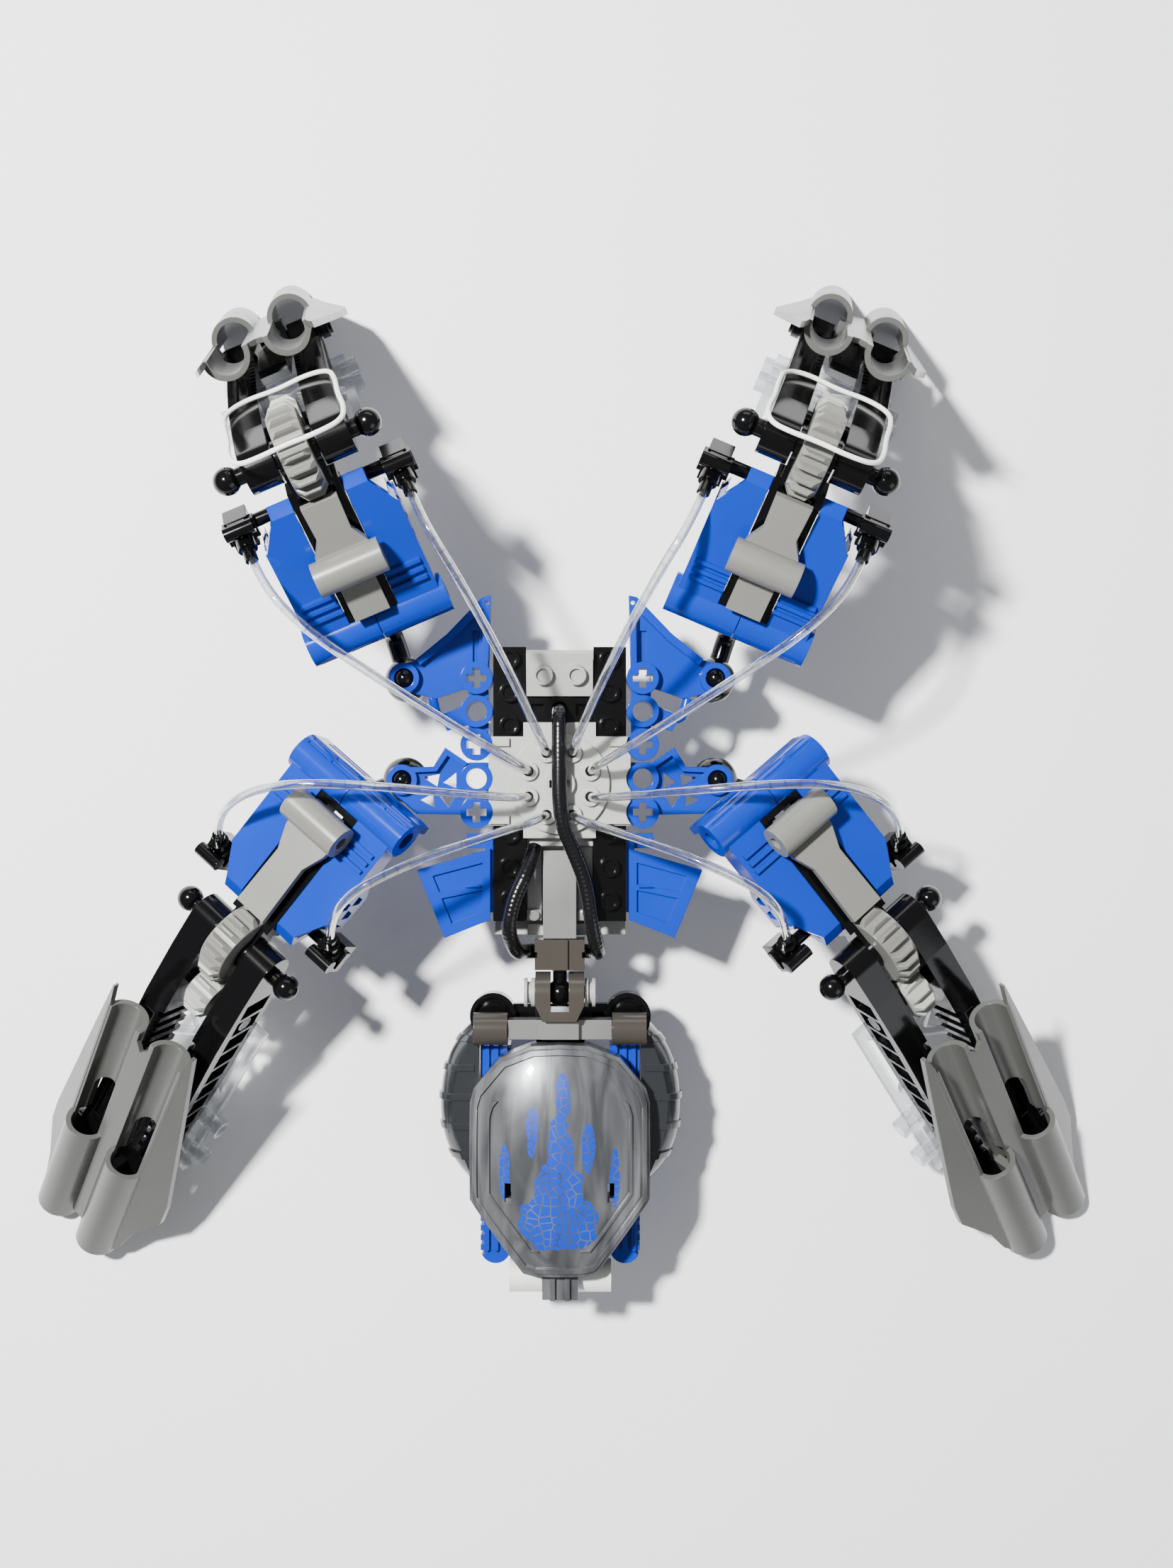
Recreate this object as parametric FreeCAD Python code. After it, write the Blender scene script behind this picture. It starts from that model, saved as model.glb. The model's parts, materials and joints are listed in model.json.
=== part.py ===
import FreeCAD, Part
import os
from math import cos, sin, tan, radians, degrees, pi, hypot, acos, atan2
from FreeCAD import Vector as V, Placement, Rotation

os.makedirs("parts", exist_ok=True)

# ---------------------------------------------------------------- driving sizes (mm)
MODULE = 8.0            # stud pitch of the building system
STUD_R = 2.4            # stud and pin radius
STUD_H = 1.7
DECK_Z = 38.0           # top of the black studded plates
DECK_H = 9.6            # one brick
PLATE_H = 3.2           # one plate
HOLE_R = 2.45           # round pin hole
BODY_X = 2 * MODULE     # half width of the body
BODY_FRONT, BODY_REAR = -33.0, 33.0

THIGH = 45.0            # hip cylinder to knee axle
HIP_HALF = 15.9         # half width of the two covers side by side
ROLL_HALF, ROLL_R = 17.2, 4.7  # the roll at the hip end of the covers
BIG_TEETH, SMALL_TEETH = 20, 12
GEAR_GAP = 16.0         # centre distance of the two gears, module 1
PORT_X, PORT_Y = 32.0, 18.9  # hose connectors on the thigh
BALL_END = 16.4         # ball ends of the knee axle
GEAR_HALF = 3.4         # half width of a gear
FORK_HALF = 4.7         # outside of the fork round the big gear
SHIN_IN, SHIN_OUT = 5.0, 12.2  # each shin spans this much to either side
FOOT_LEN = 75.0
CHANNEL_Y = 7.3         # half spacing of the two foot channels
CHANNEL_R = 5.5         # outer radius of a channel
WING_FOLD = 30.0        # the foot's wings fold down by this angle
WALL = 1.3
FOOT_TOP = (24.7, 17.5)  # top centre of the foot in the shin frame
FOOT_SLOPE = radians(-13.3)
ANKLE_X = 74.0          # ankle pin along the shin
ANKLE_IN_FOOT = ((ANKLE_X - FOOT_TOP[0]) * cos(FOOT_SLOPE) - FOOT_TOP[1] * sin(FOOT_SLOPE),
                 -(ANKLE_X - FOOT_TOP[0]) * sin(FOOT_SLOPE) - FOOT_TOP[1] * cos(FOOT_SLOPE))
HOSE_R = 1.05           # clear hose
NECK_HOSE_R = 1.85      # black ribbed hose

# left limbs: shoulder ball and hip centres, yaw, roll, pitches, and the grey cover's cylinder along the thigh
REAR = dict(ball=(-37.5, 25.5), hip=(-41.6, 38.0, 56.0), yaw=113.0, roll=0.0, thigh=36.0, shin=-56.131,
            cover=19.0)
FRONT = dict(ball=(-38.0, 1.0), hip=(-48.2, -2.6, 48.0), yaw=230.0, roll=15.0, thigh=-5.0, shin=-24.669,
             cover=9.0)

X, Y, Z = V(1, 0, 0), V(0, 1, 0), V(0, 0, 1)


# ---------------------------------------------------------------- shape helpers
def box(x0, x1, y0, y1, z0, z1):
    return Part.makeBox(x1 - x0, y1 - y0, z1 - z0, V(x0, y0, z0))


def cyl(base, axis, r, length):
    return Part.makeCylinder(r, length, V(*base), axis)


def ycyl(x, z, r, y0, y1):
    return Part.makeCylinder(r, y1 - y0, V(x, y0, z), Y)


def zcyl(x, y, r, z0, z1):
    return Part.makeCylinder(r, z1 - z0, V(x, y, z0), Z)


def prism(points, lift, start=0.0, plane="xy"):
    """A polygon in the xy or xz plane, extruded along the third axis from start by lift."""
    if plane == "xy":
        corners, push = [V(a, b, start) for a, b in points], V(0, 0, lift)
    else:
        corners, push = [V(a, start, b) for a, b in points], V(0, lift, 0)
    return Part.Face(Part.makePolygon(corners + corners[:1])).extrude(push)


def join(*shapes):
    flat = [s for s in shapes if s is not None]
    return flat[0].multiFuse(flat[1:]).removeSplitter() if len(flat) > 1 else flat[0]


def group(*shapes):
    solids = []
    for s in shapes:
        solids += s.Solids
    return Part.makeCompound(solids)


def cut(shape, *tools):
    for t in tools:
        shape = shape.cut(t)
    return shape


def place(shape, placement):
    moved = shape.copy()
    moved.Placement = placement.multiply(moved.Placement)
    return moved


def mirrored(shape):
    return shape.mirror(V(0, 0, 0), X)


def both(shape):
    return group(shape, mirrored(shape))


def pipe(points, r, bend=0.45):
    """A round tube along straight runs joined by tangent arcs."""
    pts = [V(*p) for p in points]
    edges, here, radii = [], pts[0], []
    for a, b, c in zip(pts, pts[1:], pts[2:]):
        u, w = (a - b).normalize(), (c - b).normalize()
        half = acos(max(-1.0, min(1.0, u.dot(w)))) / 2
        if half > 1.56:
            continue
        trim = bend * min(a.distanceToPoint(b), b.distanceToPoint(c))
        t0, t1 = b + u * trim, b + w * trim
        centre = b + (u + w).normalize() * (trim / cos(half))
        mid = centre + (b - centre).normalize() * (trim * tan(half))
        edges += [Part.LineSegment(here, t0).toShape(), Part.Arc(t0, mid, t1).toShape()]
        here = t1
        radii.append(round(trim * tan(half), 1))
    edges.append(Part.LineSegment(here, pts[-1]).toShape())
    path = Part.Wire(edges)
    print("tube r %.2f, length %.1f, arc radii %s" % (r, path.Length, radii))
    ring = Part.Wire([Part.Circle(pts[0], (pts[1] - pts[0]), r).toShape()])
    return path.makePipeShell([ring], True, False)


def cross_hole(x, y, z0, z1):
    """The plus-shaped hole that takes a cross axle."""
    return join(box(x - 2.4, x + 2.4, y - 0.9, y + 0.9, z0, z1), box(x - 0.9, x + 0.9, y - 2.4, y + 2.4, z0, z1))


def gear(x, z, teeth):
    """Double-bevel spur gear about Y with module 1 teeth."""
    pitch, tip, root = teeth / 2.0, teeth / 2.0 + 0.75, teeth / 2.0 - 0.95
    step, half = 2 * pi / teeth, GEAR_HALF
    blank = join(ycyl(0, 0, root, -half, half))
    tooth = prism([(root - 0.6, -0.95), (pitch, -0.62), (tip, -0.3), (tip, 0.3), (pitch, 0.62),
                   (root - 0.6, 0.95)], 2 * half, -half, "xz")
    teeth_all = []
    for i in range(teeth):
        t = tooth.copy()
        t.rotate(V(0, 0, 0), Y, i * 360.0 / teeth)
        teeth_all.append(t)
    wheel = blank.multiFuse(teeth_all)
    profile = Part.Face(Part.makePolygon([V(0, -half, 0), V(root - 0.2, -half, 0), V(tip + 0.1, -half + 1.6, 0),
                                          V(tip + 0.1, half - 1.6, 0), V(root - 0.2, half, 0), V(0, half, 0),
                                          V(0, -half, 0)]))
    wheel = wheel.common(profile.revolve(V(0, 0, 0), Y, 360))
    wheel.translate(V(x, 0, z))
    return wheel


# ---------------------------------------------------------------- limb frames
def limb_frame(pose, pitch, origin):
    """x outward along the limb, y across it, z up; pitch turns x up."""
    yaw, roll, p = radians(pose["yaw"]), radians(pose["roll"]), radians(pitch)
    out = V(cos(yaw), sin(yaw), 0)
    side = Z.cross(out)
    side = side * cos(roll) + Z * sin(roll)
    up = out.cross(side)
    ex = out * cos(p) + up * sin(p)
    ez = up * cos(p) - out * sin(p)
    return Placement(V(*origin), Rotation(ex, side, ez, "XYZ"))


def knee_point(pose):
    return limb_frame(pose, pose["thigh"], pose["hip"]).multVec(V(THIGH, 0, 0))


# ---------------------------------------------------------------- thigh (origin on the hip axle)
def hip_frame():
    """Black beam from the hip axle to the knee axle, with a fork round the big gear and ball ends."""
    beam = join(box(0, THIGH - 7, -5.9, 5.9, -3.4, 3.2), box(THIGH - 8, THIGH, -FORK_HALF, FORK_HALF, -3.4, 3.2),
                ycyl(THIGH, 0, 4.3, -FORK_HALF, FORK_HALF), ycyl(0, 0, 2.4, -15.9, 15.9))
    beam = cut(beam, ycyl(THIGH, 0, 11.3, -GEAR_HALF - 0.1, GEAR_HALF + 0.1),
               box(5, 9, -2.5, 2.5, -9, 9), ycyl(13, 0, 1.9, -9, 9), ycyl(29, 0, 1.9, -9, 9))
    axle = ycyl(THIGH, 0, 2.0, -BALL_END, BALL_END)
    balls = [Part.makeSphere(3.1, V(THIGH, s * BALL_END, 0)) for s in (-1, 1)]
    port_pin = ycyl(PORT_X, -5.0, 1.6, -19.5, 19.5)
    lug = box(29, 34, -5.9, 5.9, -7.2, -3.4)
    return join(beam, axle, port_pin, lug, *balls)


def blue_cover():
    """Boot-shaped cover: long roll at the hip, slotted skirt, stepped neck and a bent lattice-sided blade."""
    y0, y1 = 0.1, HIP_HALF
    head = cut(ycyl(0, 0, ROLL_R, y0, ROLL_HALF), ycyl(0, 0, 2.4, y0 - 1, ROLL_HALF + 1))
    lines = [ycyl(a, b, 0.4, c, d) for a, b in ((-3.2, 3.4), (-4.3, 1.9)) for c, d in ((1.5, 8.2), (9.4, 15.8))]
    skirt = cut(box(-ROLL_R, -2.6, y0, ROLL_HALF, -7.5, 0), box(-5, -1, y0 + 1.6, y1 - 1.6, -4.0, -2.6),
                box(-5, -1, y0 + 1.6, y1 - 1.6, -6.6, -5.2), ycyl(0, 0, 2.4, y0 - 1, ROLL_HALF + 1))
    deck = prism([(0, y0 + 5.9), (0, y1), (6, y1), (8, y1 - 1.2), (13, y1 - 1.2), (19, y1 - 0.3), (27, y1 - 0.3),
                  (34, y1 - 4.5), (34, y0 + 6.0)], 1.7, 1.7)
    ribs = [box(7 + 2.2 * i, 8 + 2.2 * i, y0 + 5.9, y1 - 1.2, 3.4, 4.3) for i in range(3)]
    side = prism([(2, 3.4), (34, 3.4), (36, 1.0), (30, -6.5), (18, -7.5), (14, -3.5), (3, -3.5)], 1.5, y1 - 1.5, "xz")
    windows = [prism([(15.4 + 4.4 * i, 2.6), (18.8 + 4.4 * i, 2.6), (17.4 + 4.4 * i, -1.2), (15.8 + 4.4 * i, -1.2)],
                     4, y1 - 3, "xz") for i in range(4)]
    windows += [prism([(17.8 + 4.2 * i, -2.4), (20.6 + 4.2 * i, -2.4), (19.9 + 4.2 * i, -5.4),
                       (18.4 + 4.2 * i, -5.4)], 4, y1 - 3, "xz") for i in range(3)]
    side = cut(side, *windows)
    nose = prism([(34, 3.4), (36.5, 1.0), (33, -5.0), (31.4, -5.0), (34.4, 1.0), (32.5, 1.7)], 5.4, y1 - 9.9, "xz")
    body = cut(join(head, skirt, deck, side, nose, *ribs), *lines)
    trim = prism([(27, y1 + 0.1), (27, y1 - 0.3), (34, y1 - 4.5), (38, y1 - 4.5), (38, y1 + 0.1)], 24, -12)
    return cut(body, trim)


def grey_cover(x):
    """The middle cover: short cylinder at x, hourglass plate, square tail and a narrow blade to the gear."""
    head = ycyl(x, 8.2, 4.0, -8, 8)
    waist = min(x + 11, 27.0)
    plate = prism([(x - 3, -7.6), (x - 3, 7.6), ((x + waist) / 2, 6.2), (waist, 4.0), (35.4, 4.3), (35.4, -4.3),
                   (waist, -4.0), ((x + waist) / 2, -6.2)], 2.0, 5.0)
    tail = box(5.2, x, -4.2, 4.2, 5.0, 7.0)
    spine = box(x + 2, 30, -1.2, 1.2, 3.1, 5.2)
    return cut(join(head, plate, tail, spine), ycyl(x, 8.2, 1.6, -9, -5), ycyl(x, 8.2, 1.6, 5, 9))


def hose_port(side):
    """Black connector block with cross pegs and a stepped nozzle pointing back to the hub."""
    x, y, lean = PORT_X, side * PORT_Y, V(-0.5, 0, 0.866)
    block = join(box(x - 3.8, x + 3.8, y - 2.7, y + 2.7, -6.9, -0.6), box(x - 2.4, x + 2.4, y - 3.6, y + 3.6, -4.2, -1.8),
                 ycyl(x + 2, 1.0, 1.7, y - 3.4, y + 3.4), box(x + 0.4, x + 3.6, y - 2.0, y + 2.0, -1, 1))
    nozzle = join(cyl((x - 1, y, -1), lean, 2.2, 3.4), cyl((x - 2.4, y, 1.4), lean, 1.5, 3.6))
    bore = cyl((x - 2.4, y, 1.4), lean, HOSE_R + 0.15, 3.7)
    return cut(join(block, nozzle), ycyl(x, -5.0, 1.6, -30, 30), bore)


# ---------------------------------------------------------------- shin (origin on the knee axle)
def shin_panel(side):
    """Long tapered black shin: round head, raised rim, toothed inner edge and a lattice on its outer face."""
    y0, y1 = (SHIN_IN, SHIN_OUT) if side > 0 else (-SHIN_OUT, -SHIN_IN)
    web = prism([(0, 5.0), (9, 5.6), (24, 5.8), (34, 5.0), (60, 2.6), (70, 2.9), (76, 3.2), (79, 1.0), (79, -2.6),
                 (74, -3.8), (40, -6.2), (12, -6.4), (0, -5.0)], y1 - y0, y0, "xz")
    body = join(web, ycyl(0, 0, 5.0, y0, y1))
    out0, out1 = (y1 - 1.2, y1 + 1) if side > 0 else (y0 - 1, y0 + 1.2)
    cells = [prism([(9 + 5.6 * i, 3.6 - 0.28 * i), (13.6 + 5.6 * i, 3.4 - 0.28 * i), (12.2 + 5.6 * i, -4.4 + 0.18 * i),
                    (7.8 + 5.6 * i, -4.4 + 0.18 * i)], out1 - out0, out0, "xz") for i in range(11)]
    in0, in1 = (y0 - 1, y0 + 1.3) if side > 0 else (y1 - 1.3, y1 + 1)
    notches = [box(26 + 3.4 * i, 27.9 + 3.4 * i, in0, in1, -9, 9) for i in range(12)]
    groove = prism([(28, 6.5), (66, 6.5), (66, 1.6), (58, 2.0), (34, 4.2), (28, 4.6)], 2.6, (y0 + y1) / 2 - 1.3, "xz")
    body = cut(body, *cells, *notches, groove)
    return cut(body, ycyl(0, 0, 2.06, -20, 20), ycyl(GEAR_GAP, 0, 2.0, -20, 20), ycyl(ANKLE_X, 0, 2.4, -20, 20))


def strut():
    """Clear lattice strut under the shins, wider than they are, with open cylinders near the foot."""
    w, top, low = 15.4, -6.5, -8.7
    frame = cut(box(20, 68, -w, w, low, top), box(22.4, 42.8, -w + 2.2, w - 2.2, -10, -4),
                box(45.2, 65.6, -w + 2.2, w - 2.2, -10, -4))
    bars = []
    for x0, x1 in ((22, 43.4), (44.6, 66)):
        for s in (-1, 1):
            n, angle = hypot(x1 - x0, 2 * w - 4), degrees(atan2(2 * w - 4, x1 - x0))
            bar = box(-n / 2, n / 2, -1.0, 1.0, low + 0.2, top - 0.2)
            bar.rotate(V(0, 0, 0), Z, s * angle)
            bar.translate(V((x0 + x1) / 2, 0, 0))
            bars.append(bar)
    ends = [cut(ycyl(x, -9.0, 2.6, s * 13.4 - 4.4, s * 13.4 + 4.4), ycyl(x, -9.0, 1.7, s * 13.4 - 5, s * 13.4 + 5))
            for x in (52.0, 62.5) for s in (-1, 1)]
    return join(frame, *bars, *ends)


def knee_band():
    """White rubber band round the shin heads."""
    a, b, w, c, z = -12.3, 24.0, 13.2, 5.0, 6.9
    edges = []
    start = V(b, 0, z)
    order = [(b, w, 0, -1, -1, 0), (a, w, 1, 0, 0, -1), (a, -w, 0, 1, 1, 0), (b, -w, -1, 0, 0, 1)]
    for x, y, ux, uy, vx, vy in order:
        p, q = V(x + ux * c, y + uy * c, z), V(x + vx * c, y + vy * c, z)
        centre = V(x + (ux + vx) * c, y + (uy + vy) * c, z)
        mid = centre + (V(x, y, z) - centre).normalize() * c
        edges += [Part.LineSegment(start, p).toShape(), Part.Arc(p, mid, q).toShape()]
        start = q
    edges.append(Part.LineSegment(start, V(b, 0, z)).toShape())
    ring = Part.Wire([Part.Circle(V(b, 0, z), Y, 0.7).toShape()])
    return Part.Wire(edges).makePipeShell([ring], True, False)


def ankle_pin():
    """Black pin through the shin ends, with studded collars outside them."""
    pin = ycyl(ANKLE_X, 0, 2.4, -15.4, 15.4)
    collars = [ycyl(ANKLE_X, 0, 3.1, s * 13.5 - 1.0, s * 13.5 + 1.0) for s in (-1, 1)]
    return group(cut(join(pin, *collars), ycyl(ANKLE_X, 0, 1.2, -17, -13.5), ycyl(ANKLE_X, 0, 1.2, 13.5, 17)))


def pinion(bend):
    """Small gear, turned so that one of its gaps meets the nearest tooth of the big gear at this knee bend."""
    wheel = cut(gear(GEAR_GAP, 0, SMALL_TEETH), ycyl(GEAR_GAP, 0, 2.05, -5, 5))
    off = bend % (360.0 / BIG_TEETH)
    wheel.rotate(V(GEAR_GAP, 0, 0), Y, -(180.0 / SMALL_TEETH - off * BIG_TEETH / SMALL_TEETH))
    return wheel


def foot():
    """Shovel foot: two half-tube channels that turn from hollow to domed, with wings and an oval slot each."""
    r, inner = CHANNEL_R, CHANNEL_R - WALL
    edge = CHANNEL_Y + r - 0.4
    half = [(5, 0), (0.6, 3.4), (4, 7.3), (0.6, 11.2), (0.0, edge), (FOOT_LEN, edge), (FOOT_LEN - 2.0, 0)]
    outline = half + [(x, -y) for x, y in reversed(half[1:-1])]
    body = prism(outline, WALL, -WALL / 2)
    for s in (-1, 1):
        y = s * CHANNEL_Y
        body = cut(body, box(-3, FOOT_LEN + 3, y - inner - 0.6, y + inner + 0.6, -2, 2))
    for s in (-1, 1):
        y = s * CHANNEL_Y
        tube = cut(cyl((0, y, 0), X, r, FOOT_LEN), cyl((-1, y, 0), X, inner, FOOT_LEN + 2))
        trough = tube.common(box(0, 41, y - 8, y + 8, -8, WALL / 2))
        oval = join(zcyl(31, y, 3.5, -9, 0), zcyl(42.5, y, 3.5, -9, 0), box(31, 42.5, y - 3.5, y + 3.5, -9, 0))
        dome = tube.common(box(41, FOOT_LEN, y - 8, y + 8, -WALL / 2, 8))
        body = join(body, cut(trough, oval), dome)
    wing = prism([(0.0, edge - 0.5), (-6.0, 12.9), (-5.6, 13.6), (20, 16.8), (50, 20.4), (57, 20.4), (65, 15.6),
                  (72, 14.0), (FOOT_LEN - 0.2, edge - 0.5)], 16, -12)
    leaf = box(-10, FOOT_LEN + 5, -0.6, 12, -WALL / 2, WALL / 2)
    leaf.rotate(V(0, 0, 0), X, -WING_FOLD)
    leaf.translate(V(0, edge, 0))
    wing = wing.common(leaf)
    body = join(body, wing, wing.mirror(V(0, 0, 0), Y))
    ax, az = ANKLE_IN_FOOT
    for q in (-3.5, 3.5):
        lug = join(box(ax - 4.2, ax + 4.2, q - 1.1, q + 1.1, az, -0.3), ycyl(ax, az, 4.2, q - 1.1, q + 1.1))
        body = join(body, lug)
    tongue = prism([(ax, -4.2), (18, -7.2), (14, -8.6), (18, -10.6), (ax, -9.4)], 7.0, -3.5, "xz")
    body = join(body, tongue)
    return cut(body, ycyl(ax, az, 2.46, -6, 6))


def foot_placement():
    """From the shin frame to the foot frame: top centre of the foot, sloping down to the tip."""
    ex, ez = V(cos(FOOT_SLOPE), 0, sin(FOOT_SLOPE)), V(-sin(FOOT_SLOPE), 0, cos(FOOT_SLOPE))
    return Placement(V(FOOT_TOP[0], 0, FOOT_TOP[1]), Rotation(ex, Y, ez, "XYZ"))


# ---------------------------------------------------------------- ball link at the shoulder
def ball_link(pose):
    """Black socket on the shoulder ball with a bent arm up to the hip axle."""
    bx, by = pose["ball"]
    hx, hy, hz = pose["hip"]
    away = V(hx - bx, hy - by, 0)
    reach = away.Length
    away.normalize()
    cup = Part.makeSphere(5.6, V(bx, by, 28.4)).common(zcyl(bx, by, 7, 23.6, 32.6))
    arm_at = max(reach, 10.4)
    p0, p1 = V(bx, by, 27.2) + away * 4.2, V(bx, by, 27.2) + away * arm_at
    top = V(hx, hy, hz)
    arm = pipe([tuple(p0), tuple(p1), tuple(top)], 2.4)
    socket = join(Part.makeSphere(3.5, V(bx, by, 28.4)), Part.makeCone(2.4, 4.4, 6, V(bx, by, 28.6), Z))
    return cut(join(cup, arm), socket)


def limb(name, pose):
    """All the solids of one left limb, as node name to shape in the robot's frame."""
    thigh = limb_frame(pose, pose["thigh"], pose["hip"])
    knee = tuple(knee_point(pose))
    shin = limb_frame(pose, pose["shin"], knee)
    frame = place(hip_frame(), thigh)
    link = ball_link(pose)
    covers = blue_cover()
    covers = group(covers, covers.mirror(V(0, 0, 0), Y))
    covers = place(covers, thigh)
    shield = place(grey_cover(pose["cover"]), thigh)
    wheel = cut(gear(THIGH, 0, BIG_TEETH), ycyl(THIGH, 0, 2.0, -5, 5))
    wheel = place(wheel, thigh)
    ports = place(group(hose_port(1), hose_port(-1)), thigh)
    clean = join(frame, link)
    covers = cut(covers, clean, ports)
    shield = cut(shield, clean, covers, wheel)
    parts = {
        "frame": clean,
        "covers": covers,
        "shield_gear": group(shield, wheel),
        "ports": cut(ports, clean),
        "shins": place(group(shin_panel(1), shin_panel(-1), ankle_pin(), ycyl(GEAR_GAP, 0, 2.0, -12.2, 12.2)), shin),
        "strut": place(strut(), shin),
        "pinion": place(pinion(pose["thigh"] - pose["shin"]), shin),
        "foot": place(place(foot(), foot_placement()), shin),
    }
    if name == "rear":
        parts["band"] = place(knee_band(), shin)
    return parts


# ---------------------------------------------------------------- body
def stud(x, y, z):
    return cut(zcyl(x, y, STUD_R, z - 0.4, z + STUD_H), zcyl(x, y, 1.6, z + 0.9, z + 3))


def deck_column():
    """Black studded column along one side of the body; the hub covers its middle."""
    block = box(8.1, BODY_X, BODY_FRONT, BODY_REAR, DECK_Z - DECK_H, DECK_Z)
    studs = [stud(12, y, DECK_Z) for y in (-28, -20, -12, 14, 22, 30)]
    return cut(join(block, *studs), zcyl(12, -28, 1.6, 20, 35), zcyl(12, 30, 1.6, 20, 35))


def belly():
    """Light-grey lower plate; its front edge shows past the columns."""
    plate = box(-BODY_X, BODY_X, -37, BODY_REAR, DECK_Z - DECK_H - PLATE_H, DECK_Z - DECK_H)
    ribs = [box(-BODY_X, BODY_X, y - 0.8, y + 0.8, DECK_Z - 17, DECK_Z - DECK_H - PLATE_H) for y in (-30, -10, 10, 30)]
    rails = [box(s * 15.2 - 0.8, s * 15.2 + 0.8, -37, BODY_REAR, DECK_Z - 17, DECK_Z - 12) for s in (-1, 1)]
    core = box(-8.0, 8.0, -15, 14, DECK_Z - DECK_H, 35.9)
    front = box(-8.0, 8.0, -37, -34.2, DECK_Z - DECK_H, DECK_Z - 7.6)
    return join(plate, core, front, *ribs, *rails)


def hub():
    """Light-grey hub plate: cross outline, shallow round disc with eight hose holes and a centre boss."""
    base = join(box(-8.7, 8.7, -13, 14.8, 36.1, 39.2), box(-17, 17, -10, 11.4, DECK_Z, 39.6))
    base = cut(base, box(8.1, 20, -20, 20, 30, DECK_Z), box(-20, -8.1, -20, 20, 30, DECK_Z))
    disc = zcyl(0, 0, 12, 39.0, 40.8)
    for i in range(8):
        a = radians(22.5 + 45 * i)
        disc = join(disc, zcyl(8 * cos(a), 8 * sin(a), 2.3, 39.0, 41.8))
    boss = join(disc, zcyl(0, 0, 3.7, 39, 42.4))
    corners = [box(s * 14.5 - 2.5, s * 14.5 + 2.5, y - 1, y + 1, 39.2, 40.6) for s in (-1, 1) for y in (-8.6, 10.0)]
    body = join(base, boss, *corners)
    for i in range(8):
        a = radians(22.5 + 45 * i)
        body = cut(body, zcyl(8 * cos(a), 8 * sin(a), HOSE_R + 0.2, 36.5, 45))
    bosses = [zcyl(s * 20, y, 4.0, 30, 45) for s in (-1, 1) for y in (9.5, 1.3, -6.8)]
    studs = [zcyl(s * 12, y, STUD_R, DECK_Z - 1, 45) for s in (-1, 1) for y in (-12, 14)]
    return cut(body, cross_hole(0, 0, 36.0, 45), *bosses, *studs)


def rear_brick():
    block = box(-8, 8, 14.9, 20.7, DECK_Z - DECK_H, 38.4)
    slots = [box(x - 1.5, x + 1.5, 16.4, 19.2, 36.6, 39) for x in (-5.4, 5.4)]
    return cut(block, *slots, zcyl(0, 17.9, NECK_HOSE_R + 0.05, 33.0, 39))


def rear_bracket():
    """Light-grey bracket tipped back, with two studs on top and a thick front lip."""
    plate = box(-8, 8, -5.0, 5.6, -1.6, 1.6)
    studs = [stud(x, 0.6, 1.6) for x in (-4, 4)]
    lip = box(-8, 8, -5.0, -2.6, -3.4, 1.6)
    body = join(plate, lip, *studs)
    body = place(body, Placement(V(0, 26.4, 37.6), Rotation(X, 18)))
    foot = box(-7.9, 7.9, 22.2, 30.6, DECK_Z - DECK_H, 36.0)
    return cut(join(body, foot), box(8.05, 20, 10, 40, 20, 50))


def boss(x, y, kind):
    ring = zcyl(x, y, 3.9, 30.2, DECK_Z + 0.6)
    return ring, (cross_hole(x, y, 28, 42) if kind == "cross" else zcyl(x, y, HOLE_R, 28, 42))


def rear_shoulder():
    """Blue rear shoulder: boss column, tall swept fin with a raised rim, and the ring for the ball."""
    rings, holes = zip(*[boss(20, 25.5, "cross"), boss(20, 17.5, "round"), boss(20, 9.5, "cross")])
    bar = box(17.2, 22.0, 9.5, 27.0, 31.0, 36.6)
    fin_edge = [(16.6, 45.4), (18.6, 45.0), (27.0, 36.2), (34.6, 30.0), (38.0, 29.0), (36.8, 22.2), (30, 20.6), (23, 23)]
    fin = prism(fin_edge + [(17.2, 24)], 2.4, 33.6)
    rim = prism([(16.6, 45.4), (18.6, 45.0), (27.0, 36.2), (34.6, 30.0), (33.6, 28.6), (26.0, 34.6), (18.4, 42.2),
                 (18.6, 28), (17.2, 28)], 3.0, 35.2)
    hook = pipe([(24.4, 17.2, 34.4), (29.6, 15.2, 34.4), (31.0, 20.8, 34.4)], 1.3)
    ear = prism([(22.6, 19.6), (28.8, 15.8), (27.2, 12.8), (21.0, 14.4)], 3.0, 33.0)
    eye = zcyl(37.5, 25.5, 3.7, 34.0, 38.2)
    body = join(bar, fin, rim, hook, ear, eye, *rings)
    groove = [box(19.4, 21.0, 29.6, 37.0, 35.2, 37)]
    tip_hole = zcyl(17.6, 43.6, 0.5, 33, 40)
    return cut(body, *holes, *groove, tip_hole, zcyl(37.5, 25.5, 2.35, 30, 40))


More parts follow.
